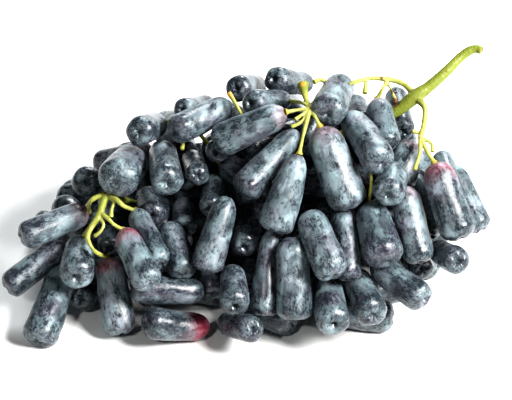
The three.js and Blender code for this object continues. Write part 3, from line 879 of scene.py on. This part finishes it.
def stalk_material(settings):
    material, tree, shader = new_material("grape stalk")
    place = tree.attribute("stem_place", "Vector")
    dry = tree.attribute("dry")
    young = tree.attribute("young")
    seat = tree.attribute("seat")
    grooves = tree.noise(tree.stretched(place, (1.0, 1.0, 0.12)), 1.1, 3.0)
    mottle = tree.noise(place, 0.35, 3.0)
    warts = tree.noise(place, 1.6, 2.0)
    green = tree.blend(young, rgba(settings.green), rgba(settings.pale))
    deep = tree.blend(0.5, green, rgba(settings.deep))
    body = tree.blend(tree.ramp(mottle, 0.4, 0.7, 0.0, 0.6), green, deep)
    body = tree.blend(tree.ramp(grooves, 0.5, 0.75, 0.0, 0.45), body, deep)
    body = tree.blend(tree.math("MULTIPLY", tree.ramp(warts, 0.62, 0.7), 0.6), body, rgba(settings.brown))
    body = tree.blend(tree.math("MULTIPLY", seat, 0.8), body, rgba(settings.seat))
    frayed = tree.math("MULTIPLY_ADD", tree.math("SUBTRACT", mottle, 0.5), 1.2, dry)
    body = tree.blend(tree.ramp(frayed, 0.3, 0.7), body, rgba(settings.brown))
    tree.join(body, shader.inputs["Base Color"])
    tree.join(tree.ramp(grooves, 0.3, 0.7, 0.4, 0.6), shader.inputs["Roughness"])
    shader.inputs["IOR"].default_value = 1.42
    shader.inputs["Subsurface Weight"].default_value = 0.35
    shader.inputs["Subsurface Radius"].default_value = (0.6, 0.8, 0.15)
    shader.inputs["Subsurface Scale"].default_value = 0.004
    height = tree.math("MULTIPLY_ADD", grooves, 0.7, tree.math("MULTIPLY", warts, 0.5))
    tree.join(tree.bump(height, 0.5, 0.0003), shader.inputs["Normal"])
    return material


def stem_places(path, berry, flare, shown):
    places = []
    for x, y, thickness, over in path:
        right, up = place_in_view(x, y)
        radius = thickness * MM_PER_PX / 2 - STALK_SLACK
        places.append((from_view((right, up, face_at(right, up) + over)), radius, 0))
    if berry:
        wanted = place_in_view(*berry)

        def miss(end):
            return math.hypot(end[0] - wanted[0], end[1] * SIN_TILT + end[2] * COS_TILT - wanted[1])

        end = min((one.stem_end() for one in shown), key=miss)
        last = places[-1][0]
        far = size_of(minus(end, last))
        for before, width, seat in (
            (STALK_NECK, STALK_RADIUS, 0),
            (STALK_FLARE, flare * 0.75, 0.25),
            (0, flare, 0.5),
        ):
            places.append((mix(last, end, max(0.4, 1 - before / far)), width, seat))
    return places


def smooth_path(places, step):
    """Rows of x, y, z, radius and seat on a smooth curve through the places, about a step apart."""
    rows = np.array([(*at, radius, seat) for at, radius, seat in places], dtype=float)
    before = np.vstack([2 * rows[0] - rows[1], rows, 2 * rows[-1] - rows[-2]])
    made = []
    for i in range(1, len(before) - 2):
        p0, p1, p2, p3 = before[i - 1 : i + 3]
        count = max(2, int(np.linalg.norm(p2[:3] - p1[:3]) / step))
        for t in np.arange(count) / count:
            cubic = t * (3 * (p1 - p2) + p3 - p0)
            square = t * (2 * p0 - 5 * p1 + 4 * p2 - p3 + cubic)
            curve = p1 + 0.5 * t * (p2 - p0 + square)
            curve[3:] = p1[3:] + (p2[3:] - p1[3:]) * (t * t * (3 - 2 * t))
            made.append(curve)
    made.append(rows[-1])
    return np.array(made)


def tube(rows, sides):
    """A closed tube with a round section along the rows, and the two directions across it at each row."""
    along = np.gradient(rows[:, :3], axis=0)
    along /= np.linalg.norm(along, axis=1, keepdims=True)
    across = np.cross(along[0], (0.2, 0.9, 0.4))
    firsts = []
    for direction in along:
        across = across - direction * (across @ direction)
        across = across / np.linalg.norm(across)
        firsts.append(across)
    firsts = np.array(firsts)
    seconds = np.cross(along, firsts)
    angle = np.linspace(0, 2 * math.pi, sides, endpoint=False)
    ring = np.cos(angle)[None, :, None] * firsts[:, None] + np.sin(angle)[None, :, None] * seconds[:, None]
    points = rows[:, None, :3] + ring * rows[:, None, 3:4]
    points = np.concatenate([rows[:1, :3], points.reshape(-1, 3), rows[-1:, :3]])
    return points, grid_faces(len(rows), sides), firsts, seconds


def finish_piece(piece, node):
    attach(piece, "root")
    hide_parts(node)


class GRAPES_OT_camera(Operator):
    """Add the camera that sees the bunch as the front view does"""

    bl_idname = "grapes.add_camera"
    bl_label = "Add Camera"

    def execute(self, context):
        settings = context.scene.grape_stage
        data = bpy.data.cameras.new("front camera")
        data.sensor_width = 36
        width = VIEW_SIZE_PX[0] * MM_PER_PX * MM
        data.lens = data.sensor_width * settings.camera_distance / width
        data.clip_start = 0.1
        data.clip_end = 100
        camera = bpy.data.objects.new("front camera", data)
        right, up = place_in_view(VIEW_SIZE_PX[0] / 2, VIEW_SIZE_PX[1] / 2)
        away = settings.camera_distance / MM + FACE_MIDDLE
        place = np.array(from_view((right, up, away))) - np.array([*MIDDLE, 0])
        camera.location = place * MM
        camera.rotation_euler = (math.pi / 2 - VIEW_TILT, 0, 0)
        context.scene.collection.objects.link(camera)
        context.scene.camera = camera
        return {"FINISHED"}


class GRAPES_OT_berries(Operator):
    """Add the berries, in one piece for each whorl along the bunch"""

    bl_idname = "grapes.add_berries"
    bl_label = "Add Berries"

    def execute(self, context):
        settings = context.scene.grape_berries
        material = skin_material(settings)
        _, outer, inner = lay_out_bunch()
        across = berry_outline(settings, 1, 5)[0]
        faces = np.array(grid_faces(len(across), settings.around), dtype=object)
        chance = random.Random(SHAPE_SEED)
        whorls = {name: [] for name, _, _ in WHORLS}
        for berry in outer + inner:
            middle = (berry.stem[0] + berry.tip[0]) / 2
            name = next(name for name, _, end in WHORLS if middle < end)
            points, place, share = berry_shape(settings, berry, chance)
            if berry in inner:
                points = press_flat(points, np.zeros(3), np.array([0, 0, -1.0]), 0, INNER_SOFTNESS)
            else:
                points = press_against_others(settings, points, berry, outer)
            whorls[name].append((points, place, share, berry))
        for name, node, _ in WHORLS:
            parts = whorls[name]
            if not parts:
                raise RuntimeError(f"no berries for {name}")
            count = len(parts[0][0])
            points = np.concatenate([part[0] for part in parts])
            all_faces = [[n + i * count for n in face] for i in range(len(parts)) for face in faces]
            looks = {
                "skin_place": np.concatenate([part[1] for part in parts]),
                "along": np.concatenate([part[2] for part in parts]),
                "blush": np.repeat([part[3].blush for part in parts], count),
                "bloom": np.repeat([part[3].bloom for part in parts], count),
            }
            piece = mesh_object(name, points, all_faces, looks, material)
            finish_piece(piece, node)
        return {"FINISHED"}


class GRAPES_OT_stems(Operator):
    """Add the stalk, the side stems and the small stalks of the berries, grown together in one piece"""

    bl_idname = "grapes.add_stems"
    bl_label = "Add Stems"

    def execute(self, context):
        settings = context.scene.grape_stems
        shown, _, _ = lay_out_bunch()
        step = settings.step / MM
        points, faces, samples = [], [], []
        for path, berry in STEMS:
            rows = smooth_path(stem_places(path, berry, settings.flare / MM, shown), step)
            ring, sides, firsts, seconds = tube(rows, STEM_SIDES)
            faces += [[n + len(points) for n in face] for face in sides]
            points += ring.tolist()
            run = np.concatenate([[0], np.cumsum(np.linalg.norm(np.diff(rows[:, :3], axis=0), axis=1))])
            samples += list(zip(rows, firsts, seconds, run + 50 * len(samples)))
        mesh = bpy.data.meshes.new("stem tubes")
        mesh.from_pydata((np.array(points) * MM).tolist(), [], faces)
        rough = bpy.data.objects.new("stem tubes", mesh)
        context.scene.collection.objects.link(rough)
        remesh = rough.modifiers.new("grow together", "REMESH")
        remesh.mode = "VOXEL"
        remesh.voxel_size = settings.voxel
        smooth = rough.modifiers.new("smooth", "SMOOTH")
        smooth.factor = 0.5
        smooth.iterations = STEM_SMOOTHING
        evaluated = rough.evaluated_get(context.evaluated_depsgraph_get())
        grown = bpy.data.meshes.new_from_object(evaluated)
        bpy.data.objects.remove(rough)
        places = np.empty(len(grown.vertices) * 3)
        grown.vertices.foreach_get("co", places)
        places = places.reshape(-1, 3) / MM
        joined = [list(face.vertices) for face in grown.polygons]
        if not joined:
            raise RuntimeError("the stems could not be grown together")

        tree = KDTree(len(samples))
        for i, (row, _, _, _) in enumerate(samples):
            tree.insert(row[:3], i)
        tree.balance()
        stem_place = np.zeros((len(places), 3))
        dry = np.zeros(len(places))
        young = np.zeros(len(places))
        seat = np.zeros(len(places))
        scars = [(place_in_view(x, y), spread) for x, y, spread in SCARS]
        seats = [(place_in_view(x, y), spread) for x, y, spread in EMPTY_SEATS]
        for n, place in enumerate(places):
            row, first, second, run = samples[tree.find(place)[1]]
            gap = place - row[:3]
            stem_place[n] = (gap @ first, gap @ second, run + gap @ np.cross(first, second))
            young[n] = clamp((2.3 - row[3]) / 1.4)
            seat[n] = row[4]
            flat = (place[0], place[1] * SIN_TILT + place[2] * COS_TILT)
            for (right, up), spread in scars:
                away = math.hypot(flat[0] - right, flat[1] - up)
                dry[n] = max(dry[n], 1 - away / spread)
            for (right, up), spread in seats:
                away = math.hypot(flat[0] - right, flat[1] - up)
                seat[n] = max(seat[n], clamp(1.2 - away / spread))
            wart = noise.noise(Vector(place) * WART_SCALE)
            out = gap / max(np.linalg.norm(gap), 1e-6)
            places[n] = place + out * wart * settings.wart / MM
        looks = {"stem_place": stem_place, "dry": dry, "young": young, "seat": seat}
        piece = mesh_object("stalks", places, joined, looks, stalk_material(settings))
        finish_piece(piece, "stems")
        return {"FINISHED"}


class GRAPES_OT_stage(Operator):
    """Add the pale floor and the soft lights"""

    bl_idname = "grapes.add_stage"
    bl_label = "Add Stage"

    def execute(self, context):
        settings = context.scene.grape_stage
        mesh = bpy.data.meshes.new("floor")
        half = FLOOR_SIZE / 2
        corners = [(-half, -half, 0), (half, -half, 0), (half, half, 0), (-half, half, 0)]
        mesh.from_pydata(corners, [], [(0, 1, 2, 3)])
        floor = bpy.data.objects.new("floor", mesh)
        context.scene.collection.objects.link(floor)
        material, tree, shader = new_material("pale floor")
        coordinates = tree.node("TexCoord").outputs["Object"]
        cloud = tree.ramp(tree.noise(coordinates, 3.0, 2.0), 0.3, 0.7, 0.0, 0.12)
        shade = rgba([part * 0.93 for part in settings.floor])
        tree.join(tree.blend(cloud, rgba(settings.floor), shade), shader.inputs["Base Color"])
        shader.inputs["Roughness"].default_value = 0.7
        mesh.materials.append(material)

        context.scene.view_settings.view_transform = "Standard"
        context.scene.view_settings.look = "High Contrast"
        world = context.scene.world or bpy.data.worlds.new("surroundings")
        context.scene.world = world
        world.use_nodes = True
        background = world.node_tree.nodes["Background"]
        background.inputs["Color"].default_value = (0.95, 0.97, 1.0, 1.0)
        background.inputs["Strength"].default_value = settings.fill
        lights = [
            ("window", (2.1, -1.2, 2.2), 1.3, settings.key, (1.0, 0.995, 0.98)),
            ("glint", (-1.0, -1.9, 1.9), 0.2, settings.glint, (1.0, 1.0, 0.98)),
            ("back", (0.5, 2.2, 1.6), 0.9, settings.back, (0.93, 0.97, 1.0)),
        ]
        for name, place, size, power, tint in lights:
            data = bpy.data.lights.new(name, "AREA")
            data.shape = "DISK"
            data.size = size
            data.energy = power
            data.color = tint
            light = bpy.data.objects.new(name, data)
            light.location = place
            aim = Vector((0, 0, 0.05)) - Vector(place)
            light.rotation_euler = aim.to_track_quat("-Z", "Y").to_euler()
            context.scene.collection.objects.link(light)
        return {"FINISHED"}


class GRAPES_PT_panel(Panel):
    """The steps that build the bunch, in order"""

    bl_label = "Grapes"
    bl_idname = "GRAPES_PT_panel"
    bl_space_type = "VIEW_3D"
    bl_region_type = "UI"
    bl_category = "Grapes"

    def draw(self, context):
        column = self.layout.column()
        for operator in OPERATORS:
            column.operator(operator.bl_idname)
        for name in SETTINGS:
            settings = getattr(context.scene, name)
            box = self.layout.box()
            for key in settings.__annotations__:
                box.prop(settings, key)


OPERATORS = (GRAPES_OT_camera, GRAPES_OT_berries, GRAPES_OT_stems, GRAPES_OT_stage)
SETTINGS = {
    "grape_berries": GrapeBerrySettings,
    "grape_stems": GrapeStemSettings,
    "grape_stage": GrapeStageSettings,
}


def register():
    for made in (*SETTINGS.values(), *OPERATORS, GRAPES_PT_panel):
        bpy.utils.register_class(made)
    for name, kind in SETTINGS.items():
        setattr(bpy.types.Scene, name, PointerProperty(type=kind))


def unregister():
    for name in SETTINGS:
        delattr(bpy.types.Scene, name)
    for made in reversed((*SETTINGS.values(), *OPERATORS, GRAPES_PT_panel)):
        bpy.utils.unregister_class(made)


def main():
    register()
    bpy.ops.grapes.add_camera()
    bpy.ops.grapes.add_berries()
    bpy.ops.grapes.add_stems()
    bpy.ops.grapes.add_stage()


if __name__ == "__main__":
    main()
